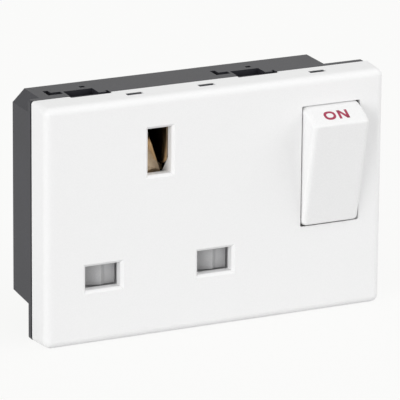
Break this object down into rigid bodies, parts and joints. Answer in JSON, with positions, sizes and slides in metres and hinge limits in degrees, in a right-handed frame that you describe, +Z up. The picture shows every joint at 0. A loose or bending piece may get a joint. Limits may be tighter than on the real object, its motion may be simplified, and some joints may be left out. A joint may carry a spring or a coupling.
{
  "type": "switched wall socket",
  "caption": "Modular switched wall socket: white slotted front with an on-off rocker, dark clip-in housing, shuttered pin slots, brass contacts and rear wire terminals.",
  "frame": {"origin": "centre of the module outline, on the plane of the flange's rear face, which seats on the frame", "axes": "+X to the right seen from the room, +Y into the wall, +Z up"},
  "size_m": [0.0676, 0.0295, 0.045],
  "materials": {
    "cover_plastic": "satin",
    "rocker_plastic": "satin",
    "housing_plastic": "fine grain",
    "shutter_plastic": "matt",
    "nylon": "matt",
    "brass": "rolled",
    "copper_strip": "rolled",
    "silver_tip": "bright",
    "screw_steel": "zinc plated",
    "spring_steel": "drawn"
  },
  "bodies": {
    "base": {"front_cover": "cover_plastic", "housing": "housing_plastic", "rear_cover": "housing_plastic", "rear_screws": "screw_steel", "fixed_contact_tip": "silver_tip", "line_link": "brass", "live_contact": "brass", "neutral_contact": "brass", "earth_contact": "brass", "line_terminal": "brass", "neutral_terminal": "brass", "earth_terminal": "brass", "terminal_screws": "screw_steel", "shutter_spring": "spring_steel", "shutter_carrier": "shutter_plastic"},
    "rocker_body": {"rocker": "rocker_plastic", "rocker_spring": "spring_steel"},
    "plunger_body": {"rocker_plunger": "nylon"},
    "seesaw_body": {"moving_contact": "copper_strip", "moving_contact_tip": "silver_tip"},
    "shutter_body": {"shutter": "shutter_plastic"}
  },
  "joints": [
    {"name": "rocker_tilt", "type": "hinge", "parent": "base", "child": "rocker_body", "pos_m": [0.02295, -0.00485, 0.00575], "axis": [-1, 0, 0], "range_deg": [0, 23.64]},
    {"name": "contact_rock", "type": "hinge", "parent": "base", "child": "seesaw_body", "pos_m": [0.02295, 0.0048, 0.00575], "axis": [1, 0, 0], "range_deg": [0, 12]},
    {"name": "plunger_slide", "type": "slide", "parent": "rocker_body", "child": "plunger_body", "axis": [0, -0.9788, -0.2048], "range_m": [0, 0.001], "stiffness_N_per_m": 300, "springref_m": -0.002, "deforming": ["rocker_spring"]},
    {"name": "shutter_slide", "type": "slide", "parent": "base", "child": "shutter_body", "axis": [1, 0, 0], "range_m": [0, 0.0076], "stiffness_N_per_m": 60, "springref_m": -0.004, "deforming": ["shutter_spring"]}
  ],
  "couplings": [
    {"joint": "contact_rock", "follows": "rocker_tilt", "ratio": 0.5076}
  ]
}
